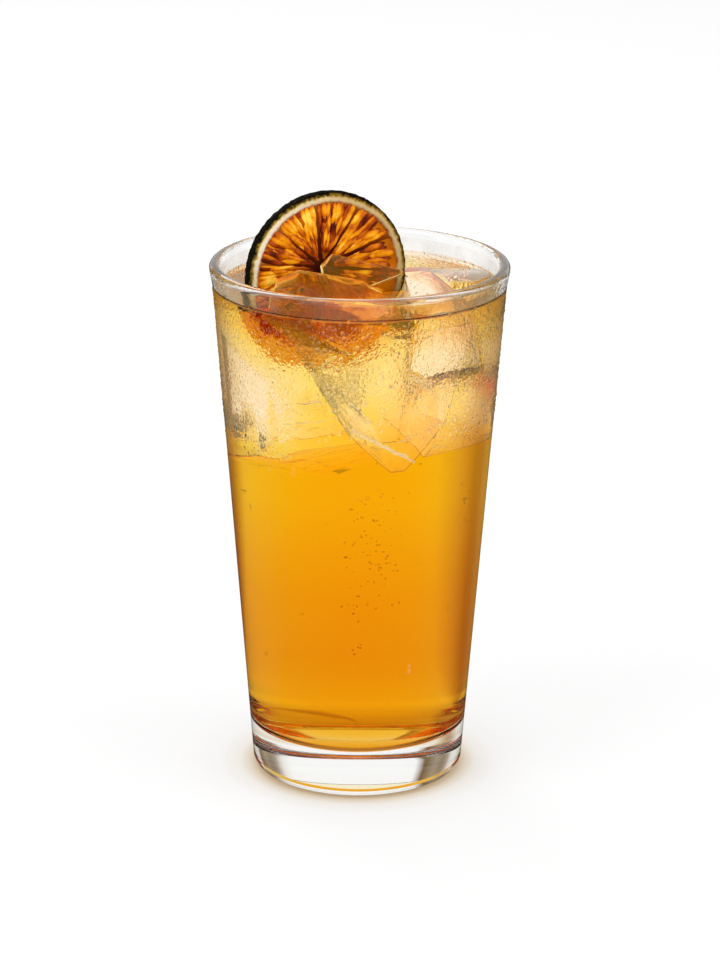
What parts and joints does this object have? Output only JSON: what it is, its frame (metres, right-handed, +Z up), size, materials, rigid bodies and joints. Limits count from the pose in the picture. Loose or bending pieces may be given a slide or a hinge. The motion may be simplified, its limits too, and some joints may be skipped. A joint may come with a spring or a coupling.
{
  "type": "glass of lemonade",
  "caption": "Tall tapered tumbler with a heavy base, filled with iced lemonade and garnished with an upright dried citrus wheel.",
  "frame": {"origin": "centre of the standing ring, on the surface the glass stands on", "axes": "+Z up the glass, -Y the front, with the citrus wheel's face turned to -Y and a little to +X"},
  "size_m": [0.0879, 0.088, 0.1798],
  "materials": {
    "clear_glass": "clear pressed soda-lime glass with a fire-polished lip, beaded with condensation outside",
    "lemonade": "clear golden amber drink, deeper towards the base",
    "dried_citrus": "oven-dried citrus: dark wrinkled rind, cream pith and translucent amber flesh",
    "ice": "clear broken ice with wet, melt-rounded breaks"
  },
  "bodies": {
    "root": {"glass": "clear_glass", "lemonade": "lemonade", "citrus_slice": "dried_citrus", "ice_right": "ice", "ice_back_right": "ice", "ice_front": "ice", "ice_wedge": "ice"}
  },
  "joints": []
}
